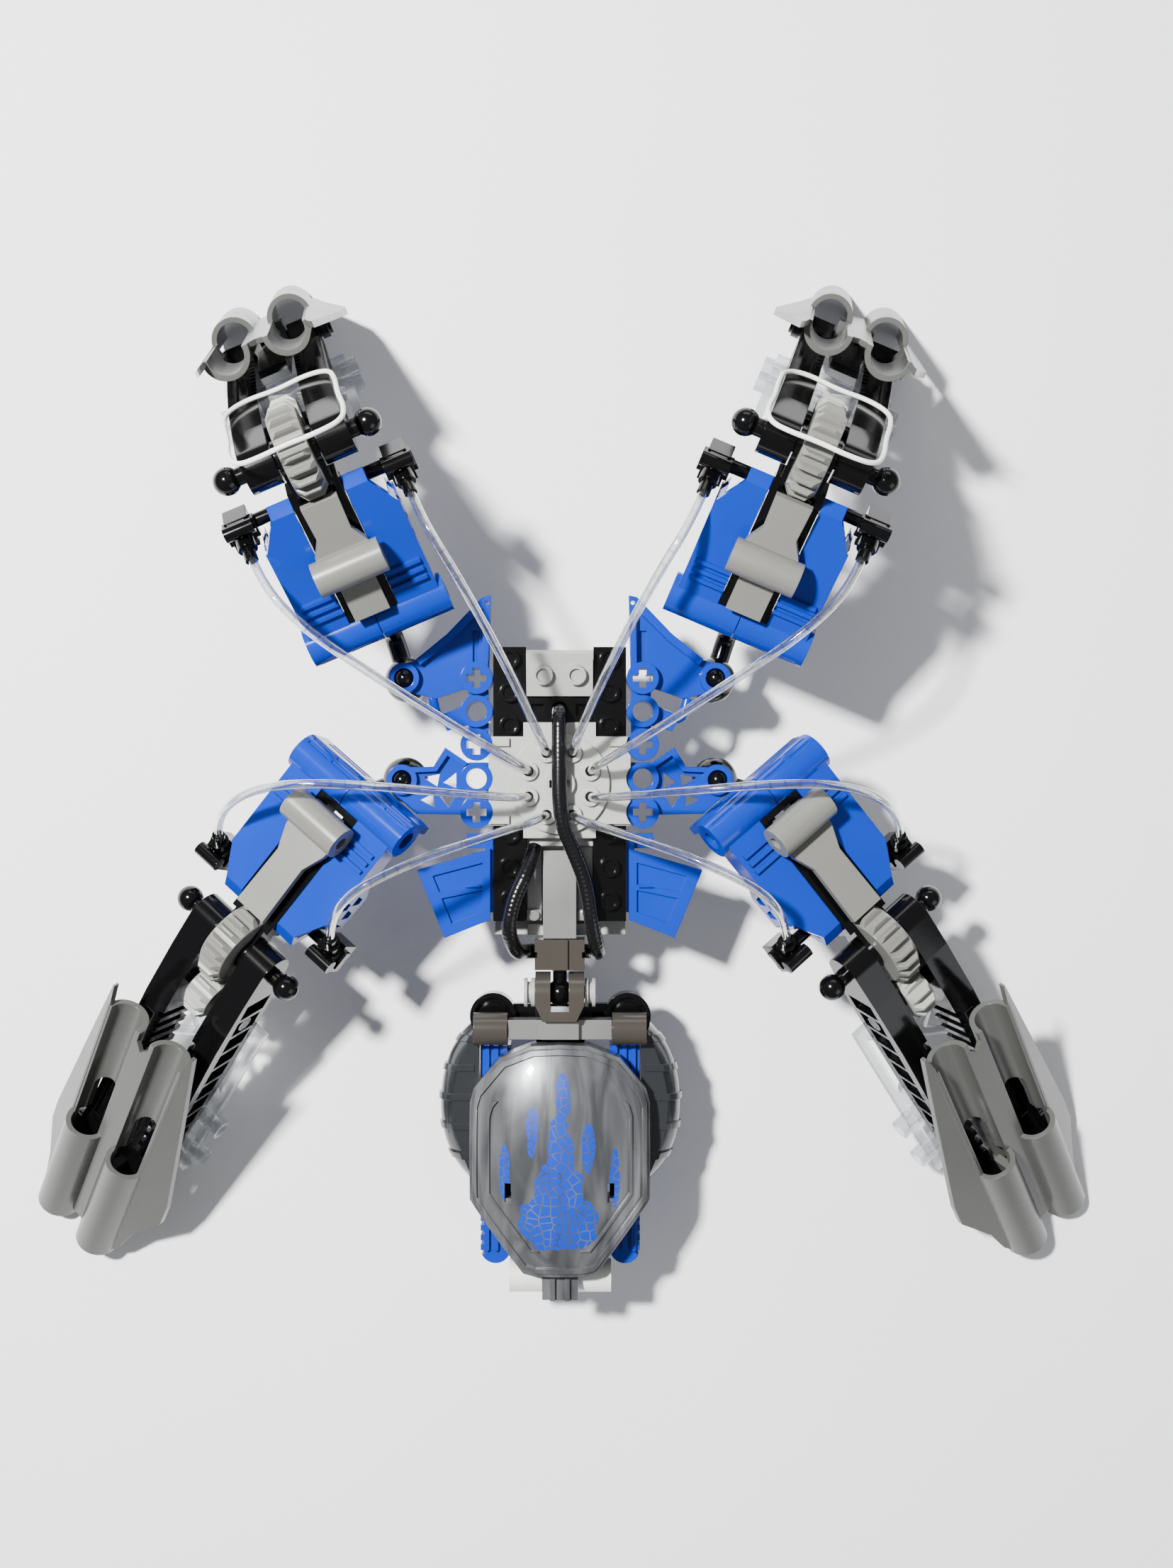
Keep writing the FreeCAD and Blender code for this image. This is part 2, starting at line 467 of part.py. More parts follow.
def front_shoulder():
    """Blue front shoulder: boss column and a windowed arm out to the ball ring."""
    rings, holes = zip(*[boss(20, 1.3, "round"), boss(20, -6.8, "cross")])
    bar = box(17.2, 22.0, -9.0, 5.2, 31.0, 36.6)
    arm = prism([(22, 5.0), (27.6, 8.8), (30.4, 4.2), (40.2, 4.0), (41.0, -1.6), (34.6, -7.2), (23, -7.4)], 3.0, 33.6)
    rim = prism([(22, 5.0), (27.6, 8.8), (30.4, 4.2), (36, 3.9), (36, 2.7), (29.6, 3.0), (27.0, 6.8), (23, 4.0)], 2.2, 36.0)
    windows = [prism(t, 6, 32) for t in ([(25.0, 2.8), (28.2, 0.4), (25.0, -1.0)], [(29.0, 2.4), (33.0, 1.6), (29.6, -0.6)],
                                         [(25.2, -2.8), (29.4, -2.4), (27.0, -5.6)], [(30.6, -2.4), (33.8, -3.8), (30.2, -5.6)])]
    spars = [box(23.4, 34.0, -1.9, -1.1, 36.0, 37.6)]
    eye = zcyl(38.0, 1.0, 3.7, 34.0, 38.2)
    body = join(bar, cut(arm, *windows), rim, eye, *spars, *rings)
    return cut(body, *holes, zcyl(38.0, 1.0, 2.35, 30, 40))


def fender():
    """Blue front fender with two recessed windows, a raised edge and a step against the deck."""
    edge = [(16.7, -15.6), (34.4, -20.7), (27.7, -37.1), (16.7, -32.7)]
    slab = prism(edge, 3.4, 34.4)
    wall = prism([(32.8, -20.3), (34.4, -20.7), (27.7, -37.1), (26.4, -36.6)], 6.4, 31.2)
    top = prism([(18.6, -19.0), (30.6, -22.2), (29.0, -26.0), (18.6, -24.2)], 2, 37.0)
    low = prism([(18.6, -25.6), (28.4, -27.6), (26.0, -33.6), (18.6, -30.8)], 2, 37.0)
    bar = join(box(16.1, 18.0, -31, -12, 31.0, 36.4), box(16.1, 22.6, -15.6, -12.0, 31.0, 34.4))
    flange = box(19.0, 24.0, -24.9, -24.4, 37.0, 38.6)
    return cut(join(slab, wall, bar, flange), top, low)


def ball_pin(x, y):
    """Black ball stud held in a shoulder ring."""
    return join(Part.makeSphere(3.2, V(x, y, 28.4)), zcyl(x, y, 1.7, 28.4, 34.2), zcyl(x, y, 2.35, 33.6, 37.2),
                Part.makeSphere(2.33, V(x, y, 37.0)).common(zcyl(x, y, 4, 37.0, 40)))


# ---------------------------------------------------------------- neck
YOKE_Y, YOKE_Z = -50.5, 35.0      # centre of the neck ball
FACE_Y, FACE_Z = -121.2, 27.0     # axis of the white tubes
FACE_TAB_Y = -125.3               # front edge of the face plate's tab, the part's foremost point


def xcyl(y, z, r, x0, x1):
    return Part.makeCylinder(r, x1 - x0, V(x0, y, z), X)


def neck_beam():
    beam = prism([(-4, -37.2), (-4, -16), (2.2, -16), (4, -17.8), (4, -37.2)], 7.6, 30.6)
    side_panels = [join(box(s * 6.2 - 1.8, s * 6.2 + 1.8, -33, -15.2, 29.0, 33.2),
                        box(s * 6.2 - 1.8, s * 6.2 + 1.8, -33, -30.4, 33.0, 36.0)) for s in (-1, 1)]
    pegs = [zcyl(s * 6.2, -31.7, 1.3, 35.5, 37.2) for s in (-1, 1)]
    return join(beam, box(-4.4, 4.4, -33, -15.2, 29.0, 31.0), *side_panels, *pegs)


def neck_block():
    """Dark-grey block with a rounded top, and the black-balled stem that the head turns on."""
    body = box(-6, 6, -44.7, -37.4, 30.2, 39.0)
    crown = box(-2.0, 2.0, -44.7, -37.4, 38.6, 39.8)
    grooves = [box(s * 6 - 0.6, s * 6 + 0.6, -41.8, -40.4, 29, 40) for s in (-1, 1)]
    return join(cut(body, *grooves), crown)


def neck_ball():
    stem = Part.makeCylinder(1.7, 6.0, V(0, -44.7, YOKE_Z), V(0, -1, 0))
    return join(Part.makeSphere(3.2, V(0, YOKE_Y, YOKE_Z)), stem)


def neck_hose():
    route = [(0, 17.9, 33.5), (0, 17.9, 43.6), (0, 10.0, 45.0), (0, -8.0, 45.0), (3.4, -16.0, 43.4), (6.6, -24.0, 42.8),
             (7.8, -34.0, 42.2), (9.4, -40.8, 38.0), (8.8, -41.2, 27.0), (-8.8, -41.2, 27.0), (-10.4, -41.0, 36.0),
             (-12.4, -35.0, 42.6), (-10.8, -27.0, 43.0), (-7.2, -20.0, 42.4), (-5.9, -15.2, 38.4)]
    return pipe(route, NECK_HOSE_R, 0.42)


# ---------------------------------------------------------------- head
def head_yoke():
    """Dark-grey two-jaw yoke round the neck ball, running back into the cross bar."""
    jaws = join(xcyl(YOKE_Y, YOKE_Z, 5.1, -5.9, 5.9), box(-5.9, 5.9, -57.0, YOKE_Y, YOKE_Z - 5.1, YOKE_Z + 5.1))
    jaws = cut(jaws, box(-2.2, 2.2, -54.6, -44, 20, 50), Part.makeSphere(3.5, V(0, YOKE_Y, YOKE_Z)))
    taper = [prism([(s * 5.95, -57.1), (s * 5.95, -53.0), (s * 4.0, -57.1)], 12, 29) for s in (-1, 1)]
    return cut(jaws, *taper, xcyl(YOKE_Y, YOKE_Z, 1.5, -12, 12))


def yoke_discs():
    discs = []
    for s in (-1, 1):
        lo, hi = sorted((s * 6.0, s * 8.6))
        rim = join(xcyl(YOKE_Y, YOKE_Z, 2.6, lo, hi), xcyl(YOKE_Y, YOKE_Z, 3.5, min(s * 6.0, s * 6.9), max(s * 6.0, s * 6.9)),
                   xcyl(YOKE_Y, YOKE_Z, 3.5, min(s * 7.8, s * 8.6), max(s * 7.8, s * 8.6)),
                   xcyl(YOKE_Y, YOKE_Z, 1.5, min(s * 3.6, s * 6.4), max(s * 3.6, s * 6.4)))
        discs.append(rim)
    return group(*discs)


def cross_bar():
    bar = join(box(-12.6, 12.6, -61.8, -57.1, 30.4, 36.0), box(-4.6, 4.6, -61.6, -57.2, 35.8, 37.8))
    return cut(bar, *[xcyl(-59.5, 33.2, 1.6, s * 11.6 - 1.2, s * 11.6 + 1.2) for s in (-1, 1)])


def head_tubes():
    tubes = [cut(xcyl(-59.6, 33.0, 4.0, min(s * 12.7, s * 21), max(s * 12.7, s * 21)),
                 xcyl(-59.6, 33.0, 2.4, min(s * 15, s * 22), max(s * 15, s * 22))) for s in (-1, 1)]
    return group(*tubes)


def wheel_rings():
    rings = [join(cut(zcyl(s * 16.6, -57.2, 5.7, 22.4, 27.8), zcyl(s * 16.6, -57.2, 4.5, 26.2, 29)),
                  zcyl(s * 16.6, -57.2, 3.4, 25, 27.0)) for s in (-1, 1)]
    return group(*rings)


def crescent(grow, z):
    """Outline of a side shell at one height: a curved outer edge and a flat inner one."""
    pts = [V(19.7, -57.0, z), V(25.4 + grow, -64.5, z), V(28.6 + grow, -76.5, z), V(26.4 + grow, -90.5, z), V(20.2, -99, z)]
    outer = Part.BSplineCurve()
    outer.interpolate(pts)
    return Part.Wire([outer.toShape(), Part.LineSegment(pts[-1], pts[0]).toShape()])


def side_shell():
    """Dark ribbed shell beside the face."""
    skin = Part.makeLoft([crescent(-3.0, 18.5), crescent(1.0, 25.0), crescent(-2.4, 30.4)], True, False)
    ribs = []
    for i in range(5):
        y = -62.4 - 7.2 * i
        fin = Part.makeLoft([crescent(-2.4, 18.3), crescent(1.5, 25.0), crescent(-1.8, 30.7)], True, False)
        ribs.append(fin.common(box(21.0, 34, y - 0.8, y + 0.8, 15, 35)))
    hollow = Part.makeLoft([crescent(-6.0, 20.0), crescent(-1.6, 25.0), crescent(-5.4, 33.0)], True, False)
    hollow.translate(V(0.9, 0, 0))
    shell = cut(join(skin, *ribs), hollow.common(box(20.5, 40, -94, -60, 21.0, 40)))
    return cut(shell, zcyl(16.6, -57.2, 5.8, 10, 40), xcyl(-59.6, 33.0, 4.1, 10, 21.3))


def blue_pad():
    """Blue ribbed pad along one side of the head, rounded at the front end."""
    end = -114.2
    body = join(box(12.2, 19.6, end, -64.2, 20.4, 28.6), zcyl(15.9, end, 3.7, 20.4, 28.6))
    ribs = [join(box(12.9 + 2.25 * i, 14.1 + 2.25 * i, end, -64.2, 28.2, 29.6),
                 zcyl(13.5 + 2.25 * i, end, 0.6, 28.2, 29.6)) for i in range(3)]
    slots = [box(18.7, 21, end - 1.5 + 2.4 * i, end - 0.5 + 2.4 * i, 19, 30) for i in range(4)]
    return cut(join(body, *ribs), *slots)


def head_core():
    """Black inner frame that carries the pads, shells, bar and white tubes."""
    spine = join(box(-6, 6, -113.6, -54.6, 21.2, 26.4), box(-5.9, 5.9, -62.4, -54.8, 26.2, 29.8),
                 box(-8, 8, -61.8, -57.1, 26.2, 30.4))
    arms = [box(-12.2, 12.2, y - 3, y + 3, 21.4, 26.0) for y in (-70, -88, -105)]
    bar = box(-12, 12, -60.2, -54.4, 22.6, 25.6)
    lug = join(box(-9.4, -5.6, -114.0, -108, 21.2, 26.4), box(5.6, 9.4, -114.0, -108, 21.2, 26.4))
    rings = wheel_rings()
    return group(cut(join(spine, lug, bar, *arms), rings), rings)


def white_tubes():
    axle = xcyl(FACE_Y, FACE_Z, 1.6, -11, 11)
    tubes = [join(xcyl(FACE_Y, FACE_Z, 4.0, min(s * 4.4, s * 12.5), max(s * 4.4, s * 12.5)),
                  box(min(s * 5.8, s * 9.2), max(s * 5.8, s * 9.2), FACE_Y + 0.5, -114.0, 23.2, 26.2)) for s in (-1, 1)]
    ends = [xcyl(FACE_Y, FACE_Z, 2.4, min(s * 11.2, s * 13), max(s * 11.2, s * 13)) for s in (-1, 1)]
    return join(cut(join(*tubes, axle), *ends), axle)


def ellipsoid(cx, cy, cz, a, b, c):
    ball = Part.makeSphere(1.0)
    m = FreeCAD.Matrix()
    m.scale(a, b, c)
    ball = ball.transformGeometry(m)
    ball.translate(V(cx, cy, cz))
    return ball


FACE_EDGE = [(0, -62.6), (7.0, -63.0), (14.5, -66.0), (20.9, -73.8), (21.8, -77), (21.8, -100.4), (8.8, -118.0),
             (6.2, -118.6)]


def face_outline(k=1.0):
    right = [(x * k, (y + 90) * k - 90) for x, y in FACE_EDGE]
    return right + [(-x, y) for x, y in reversed(right[1:])]


def face_plate():
    """Domed face plate: smooth shield, side walls, edge ridges, slots, bosses and the hinge tab."""
    dome = ellipsoid(0, -90, 31.5, 25, 36, 11.5)
    inside = ellipsoid(0, -90, 31.5, 23.6, 34.6, 10.1)
    shield = cut(dome.common(prism(face_outline(), 30, 31.2)), inside)
    wall = cut(prism(face_outline(), 12, 31.2), prism(face_outline(0.93), 20, 28)).common(
        join(dome, box(-30, 30, -130, -50, 20, 33.4)))
    rim_high = cut(ellipsoid(0, -90, 32.2, 25, 36, 11.5), ellipsoid(0, -90, 31.3, 25, 36, 11.5))
    ridges = rim_high.common(cut(prism(face_outline(0.965), 30, 31.2), prism(face_outline(0.915), 30, 31)))
    inner = rim_high.common(cut(prism(face_outline(0.80), 30, 31.2), prism(face_outline(0.77), 30, 31)))
    inner = inner.common(box(-30, 30, -112, -76, 30, 60))
    body = join(shield, wall, ridges)
    body = join(body, inner)
    slots = [box(s * 12.3 - 0.8, s * 12.3 + 0.8, -100.0, -95.4, 30, 50) for s in (-1, 1)]
    ears = [box(s * 12.3 - 1.4, s * 12.3 + 1.4, -100.8, -99.2, 37.2, 40.2) for s in (-1, 1)]
    fins = [box(x - 0.45, x + 0.45, -116.6, -112.2, 33.4, 38.0) for x in (-2.2, 0, 2.2)]
    pegs = [box(s * 7.6 - 0.45, s * 7.6 + 0.45, -111.6, -107.4, 36.0, 39.4) for s in (-1, 1)]
    tab = join(box(-4.3, 4.3, FACE_TAB_Y, -114.4, 32.4, 34.2), box(-3.4, 3.4, FACE_Y - 1.7, FACE_Y + 3.4, 27.0, 33.0),
               box(-2.4, -1.2, FACE_TAB_Y, -116, 34.0, 35.2), box(1.2, 2.4, FACE_TAB_Y, -116, 34.0, 35.2))
    knuckle = xcyl(FACE_Y, FACE_Z, 3.4, -3.4, 3.4)
    body = join(cut(body, *slots), *ears, *fins, *pegs, tab, knuckle)
    return cut(body, xcyl(FACE_Y, FACE_Z, 1.66, -5, 5))


# ---------------------------------------------------------------- hoses
def hub_holes():
    near, far = 8 * sin(radians(22.5)), 8 * cos(radians(22.5))
    return {"rear": [(-far, near), (-near, far)], "front": [(-far, -near), (-near, -far)]}


# bends of each left limb's two hoses, between the hub hole and the nozzle: outer hose, inner hose
HOSE_BENDS = {
    "rear": ([(-10.2, 5.0, 51.4), (-21.5, 12.6, 60.9), (-37.1, 23.4, 72.6), (-52.6, 34.1, 78.4)],
             [(-4.3, 9.9, 51.4), (-9.5, 19.8, 59.6), (-16.7, 33.3, 70.8), (-23.4, 46.2, 77.0)]),
    "front": ([(-10.8, -3.5, 51.4), (-24.6, -4.4, 59.5), (-45.0, -5.8, 65.0), (-61.5, -6.6, 64.2), (-73.8, -6.6, 61.0)],
              [(-5.6, -8.9, 51.4), (-14.6, -13.4, 58.6), (-26.0, -19.0, 66.8), (-37.0, -24.0, 69.6),
               (-45.8, -27.6, 69.6)]),
}


def limb_hose(pose, hole, side, bends):
    """One clear hose from a hub hole, arching to the nozzle on one side of the thigh."""
    thigh = limb_frame(pose, pose["thigh"], pose["hip"])
    last = [tuple(thigh.multVec(V(PORT_X - 2.4 - 0.5 * t, side * PORT_Y, 1.4 + 0.866 * t))) for t in (10.8, 0.4)]
    first = [(hole[0], hole[1], 38.2), (hole[0], hole[1], 43.4)]
    return pipe(first + bends + last, HOSE_R)


# ---------------------------------------------------------------- assembly
def robot():
    nodes = {}
    column = deck_column()
    bracket = rear_bracket()
    nodes["deck_columns"] = both(column)
    nodes["belly_plate"] = belly()
    nodes["hub_plate"] = hub()
    nodes["rear_brick"] = rear_brick()
    nodes["rear_bracket"] = cut(bracket, nodes["rear_brick"], nodes["belly_plate"])
    nodes["rear_shoulders"] = both(rear_shoulder())
    nodes["front_shoulders"] = both(front_shoulder())
    nodes["fenders"] = both(cut(fender(), front_shoulder()))
    pins = [ball_pin(*REAR["ball"]), ball_pin(*FRONT["ball"])]
    nodes["ball_pins"] = group(both(group(*pins)), neck_ball())
    nodes["neck_beam"] = neck_beam()
    nodes["neck_block"] = neck_block()
    nodes["neck_hose"] = neck_hose()
    nodes["head_yoke"] = group(head_yoke(), head_tubes())
    nodes["yoke_discs"] = yoke_discs()
    nodes["cross_bar"] = cross_bar()
    nodes["side_shells"] = both(side_shell())
    nodes["blue_pads"] = both(blue_pad())
    nodes["head_core"] = head_core()
    nodes["white_tubes"] = white_tubes()
    nodes["face_plate"] = face_plate()
    holes = hub_holes()
    for place_name, pose, outer_side in (("rear", REAR, 1), ("front", FRONT, -1)):
        parts = limb(place_name, pose)
        (outer, inner) = holes[place_name]
        outer_bends, inner_bends = HOSE_BENDS[place_name]
        parts["hoses"] = group(limb_hose(pose, outer, outer_side, outer_bends),
                               limb_hose(pose, inner, -outer_side, inner_bends))
        for key, shape in parts.items():
            nodes[place_name + "_left_" + key] = shape
            nodes[place_name + "_right_" + key] = mirrored(shape)
    return nodes


def main():
    nodes = robot()
    span = Part.makeCompound([nodes[n] for n in nodes if n.endswith("foot")]).optimalBoundingBox(False)
    shift = V(0, -(min(span.YMin, FACE_TAB_Y) + span.YMax) / 2, -span.ZMin)
    for name, shape in nodes.items():
        moved = shape.copy()
        moved.translate(shift)
        moved.exportStep("parts/" + name + ".step")


main()
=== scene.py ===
import bpy
import json
import math
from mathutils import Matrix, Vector


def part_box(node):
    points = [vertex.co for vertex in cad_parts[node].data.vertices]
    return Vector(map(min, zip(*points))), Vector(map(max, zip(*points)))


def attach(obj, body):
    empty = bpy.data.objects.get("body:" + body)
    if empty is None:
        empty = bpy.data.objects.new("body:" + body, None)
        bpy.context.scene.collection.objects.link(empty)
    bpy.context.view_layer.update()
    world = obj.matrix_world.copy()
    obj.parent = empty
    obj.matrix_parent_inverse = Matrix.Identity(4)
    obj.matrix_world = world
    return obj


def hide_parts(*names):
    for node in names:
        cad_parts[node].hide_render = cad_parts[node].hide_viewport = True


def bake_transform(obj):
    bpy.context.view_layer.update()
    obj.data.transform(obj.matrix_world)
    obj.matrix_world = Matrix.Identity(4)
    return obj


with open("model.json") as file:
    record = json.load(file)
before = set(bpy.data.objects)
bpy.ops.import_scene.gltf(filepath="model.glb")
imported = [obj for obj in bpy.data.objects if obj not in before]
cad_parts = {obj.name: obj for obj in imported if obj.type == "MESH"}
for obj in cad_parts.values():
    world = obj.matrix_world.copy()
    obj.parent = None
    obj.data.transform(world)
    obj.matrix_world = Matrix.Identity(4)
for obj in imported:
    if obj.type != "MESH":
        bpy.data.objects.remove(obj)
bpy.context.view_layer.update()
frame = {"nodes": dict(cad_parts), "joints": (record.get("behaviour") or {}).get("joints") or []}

MM = 0.001
SHIFT_Y, SHIFT_Z = -2.285, -1.246        # from the hub-centred sizes to the row frame (mm)
JOINTS = {joint["name"]: joint for joint in frame["joints"]}


# ---------------------------------------------------------------- shader helpers
def material(name):
    """A new material, its node tree and its surface shader."""
    m = bpy.data.materials.new(name)
    m.use_nodes = True
    tree = m.node_tree
    return m, tree, tree.nodes["Principled BSDF"]


def set_inputs(shader, values):
    """Fixed values for the sockets of a shader node, by their names."""
    for socket, value in values.items():
        shader.inputs[socket].default_value = value


def link(tree, a, b):
    tree.links.new(a, b)


def node(tree, kind, values=None, **settings):
    """A new shader node with its settings and the fixed values of its sockets."""
    n = tree.nodes.new(kind)
    for key, value in settings.items():
        setattr(n, key, value)
    set_inputs(n, values or {})
    return n


def noise(tree, place, **values):
    """Noise with Scale cells per metre."""
    texture = node(tree, "ShaderNodeTexNoise", values)
    link(tree, place, texture.inputs["Vector"])
    return texture.outputs["Fac"]


def spread(tree, value, start, end):
    """A value of 0 to 1, carried over to run from start to end."""
    span = node(tree, "ShaderNodeMapRange", {"To Min": start, "To Max": end})
    link(tree, value, span.inputs["Value"])
    return span.outputs["Result"]


def two_tones(tree, value, dark_end, dark, light_start, light):
    """Dark up to one value, light from another one on, and a blend between them."""
    ramp = node(tree, "ShaderNodeValToRGB")
    for stop, at, color in zip(ramp.color_ramp.elements, (dark_end, light_start), (dark, light)):
        stop.position = at
        stop.color = (*color, 1)
    link(tree, value, ramp.inputs["Fac"])
    return ramp.outputs["Color"]


def calc(tree, operation, *values):
    """The result of one operation on numbers and sockets."""
    step = node(tree, "ShaderNodeMath", operation=operation)
    for socket, value in zip(step.inputs, values):
        if isinstance(value, (int, float)):
            socket.default_value = value
        else:
            link(tree, value, socket)
    return step.outputs["Value"]


def rounded_edges(tree, radius):
    """A normal that makes sharp edges look rounded."""
    bevel = node(tree, "ShaderNodeBevel", {"Radius": radius}, samples=4)
    return bevel.outputs["Normal"]


def raised(tree, height, strength, distance, base=None):
    """A normal with relief by the given height, over the base normal where there is one."""
    bump = node(tree, "ShaderNodeBump", {"Strength": strength, "Distance": distance})
    link(tree, height, bump.inputs["Height"])
    if base:
        link(tree, base, bump.inputs["Normal"])
    return bump.outputs["Normal"]


# ---------------------------------------------------------------- materials
EDGE_ROUND = 0.25 * MM           # how round the edges of moulded plastic look
FACE_EDGE_ROUND = 0.3 * MM
GRAIN_DEPTH = 0.2 * MM
WEAVE_DEPTH = 0.1 * MM
TICKS_PER_METRE = 300.0          # cross marks along a clear hose
CELL_GAP = 0.06                  # how far the print stays from the edge of its cell, in cells
# the print on the face plate, a group of ellipses: centre and half size of each, from the plate's middle (mm)
PRINT_PATCHES = [(0, -10.5, 9.8, 7.2), (0.4, 3, 3.4, 12), (0, -3, 6.2, 7), (-6.6, 11, 1.5, 6),
                 (6.8, 7, 1.5, 6), (0.8, 19, 1.7, 6), (-13.2, 1, 1.2, 7), (13.2, 0, 1.2, 7)]
PRINT_WOBBLE = 2.2               # how ragged the outline of the print is


def plastic(name, color, rough, coat, metallic=0.0, grain=0.02, vary=0.06, specular=0.5):
    """Moulded plastic: rounded edges, a faint uneven sheen and small colour drift."""
    m, tree, bsdf = material(name)
    place = node(tree, "ShaderNodeTexCoord").outputs["Object"]
    drift = noise(tree, place, Scale=60.0, Detail=3.0)
    tone = node(tree, "ShaderNodeHueSaturation", {"Color": (*color, 1)})
    link(tree, spread(tree, drift, 1.0 - vary, 1.0 + vary), tone.inputs["Value"])
    link(tree, tone.outputs["Color"], bsdf.inputs["Base Color"])
    sheen = spread(tree, drift, max(0.03, rough - 0.06), rough + 0.08)
    link(tree, sheen, bsdf.inputs["Roughness"])
    fine = noise(tree, place, Scale=900.0)
    normal = raised(tree, fine, grain, GRAIN_DEPTH, rounded_edges(tree, EDGE_ROUND))
    link(tree, normal, bsdf.inputs["Normal"])
    set_inputs(bsdf, {"Metallic": metallic, "Coat Weight": coat, "Coat Roughness": 0.12,
                      "Specular IOR Level": specular})
    return m


def clear_plastic(name, color, alpha, rough):
    """Clear plastic with an uneven haze."""
    m, tree, bsdf = material(name)
    place = node(tree, "ShaderNodeTexCoord").outputs["Object"]
    haze = noise(tree, place, Scale=150.0)
    link(tree, spread(tree, haze, rough * 0.6, rough * 1.6), bsdf.inputs["Roughness"])
    set_inputs(bsdf, {"Base Color": (*color, 1), "Transmission Weight": 0.9, "IOR": 1.45, "Alpha": alpha})
    return m


def hose_material():
    """Clear flexible hose with fine cross marks."""
    m, tree, bsdf = material("clear hose")
    uv = node(tree, "ShaderNodeUVMap", uv_map="along")
    split = node(tree, "ShaderNodeSeparateXYZ")
    link(tree, uv.outputs["UV"], split.inputs["Vector"])
    marks = calc(tree, "MULTIPLY", split.outputs["X"], TICKS_PER_METRE)
    tick = calc(tree, "PINGPONG", marks, 0.5)
    color = two_tones(tree, tick, 0.03, (0.20, 0.22, 0.25), 0.09, (0.46, 0.49, 0.52))
    link(tree, color, bsdf.inputs["Base Color"])
    set_inputs(bsdf, {"Roughness": 0.06, "Transmission Weight": 0.95, "IOR": 1.46, "Alpha": 0.66})
    return m


def ribbed_black():
    """Black sleeved hose: a fine weave over the rings of its mesh."""
    m, tree, bsdf = material("ribbed black hose")
    place = node(tree, "ShaderNodeTexCoord").outputs["Object"]
    weave = node(tree, "ShaderNodeTexVoronoi", {"Scale": 1500.0}, feature="DISTANCE_TO_EDGE")
    link(tree, place, weave.inputs["Vector"])
    link(tree, raised(tree, weave.outputs["Distance"], 0.12, WEAVE_DEPTH), bsdf.inputs["Normal"])
    set_inputs(bsdf, {"Base Color": (0.004, 0.004, 0.0045, 1), "Roughness": 0.22, "Specular IOR Level": 0.35})
    return m


def printed(tree, place):
    """1 where the face plate is printed, 0 where it is bare: cells inside a ragged group of patches."""
    split = node(tree, "ShaderNodeSeparateXYZ")
    link(tree, place, split.inputs["Vector"])
    cells = node(tree, "ShaderNodeTexVoronoi", feature="DISTANCE_TO_EDGE", voronoi_dimensions="2D")
    set_inputs(cells, {"Scale": 460.0})
    link(tree, place, cells.inputs["Vector"])
    inside_cell = calc(tree, "GREATER_THAN", cells.outputs["Distance"], CELL_GAP)

    def patch(x, y, half_x, half_y):
        """Above 0 inside one ellipse."""
        dx = calc(tree, "DIVIDE", calc(tree, "SUBTRACT", split.outputs["X"], x * MM), half_x * MM)
        dy = calc(tree, "DIVIDE", calc(tree, "SUBTRACT", split.outputs["Y"], y * MM), half_y * MM)
        off = calc(tree, "ADD", calc(tree, "MULTIPLY", dx, dx), calc(tree, "MULTIPLY", dy, dy))
        return calc(tree, "SUBTRACT", 1.0, off)

    group = patch(*PRINT_PATCHES[0])
    for sizes in PRINT_PATCHES[1:]:
        group = calc(tree, "MAXIMUM", group, patch(*sizes))
    wobble = calc(tree, "SUBTRACT", noise(tree, place, Scale=170.0, Detail=4.0), 0.5)
    ragged = calc(tree, "ADD", group, calc(tree, "MULTIPLY", wobble, PRINT_WOBBLE))
    return calc(tree, "MULTIPLY", calc(tree, "GREATER_THAN", ragged, 0.0), inside_cell)


def face_material():
    """Pearl smoke face plate with painted light and shade of fold ridges in long streaks, and a plain
    cracked-cell pattern in blue down its middle.
    """
    m, tree, bsdf = material("face plate")
    low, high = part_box("face_plate")
    mid = [(a + b) / 2 for a, b in zip(low, high)]
    coords = node(tree, "ShaderNodeTexCoord")
    shift = node(tree, "ShaderNodeMapping", {"Location": (-mid[0], -mid[1], 0)})
    link(tree, coords.outputs["Object"], shift.inputs["Vector"])
    place = shift.outputs["Vector"]
    shown = printed(tree, place)
    # painted light and shade: long streaks of darker and lighter grey stand in for the light falling on the
    # plate's fold ridges
    stretch = node(tree, "ShaderNodeMapping", {"Scale": (1.0, 0.16, 1.0)})
    link(tree, place, stretch.inputs["Vector"])
    shade_streak = noise(tree, stretch.outputs["Vector"], Scale=190.0, Detail=2.0, Distortion=0.8)
    painted_fold_shade = two_tones(tree, shade_streak, 0.35, (0.048, 0.050, 0.054), 0.68, (0.14, 0.143, 0.148))
    mix = node(tree, "ShaderNodeMix", data_type="RGBA")
    link(tree, shown, mix.inputs["Factor"])
    link(tree, painted_fold_shade, mix.inputs["A"])
    mix.inputs["B"].default_value = (0.0004, 0.032, 0.36, 1)
    link(tree, mix.outputs["Result"], bsdf.inputs["Base Color"])
    pearl = noise(tree, place, Scale=45.0, Distortion=2.0)
    link(tree, spread(tree, pearl, 0.2, 0.38), bsdf.inputs["Roughness"])
    link(tree, spread(tree, shown, 0.35, 0.0), bsdf.inputs["Metallic"])
    link(tree, rounded_edges(tree, FACE_EDGE_ROUND), bsdf.inputs["Normal"])
    set_inputs(bsdf, {"Coat Weight": 0.25, "Coat Roughness": 0.05, "Specular IOR Level": 0.4})
    return m


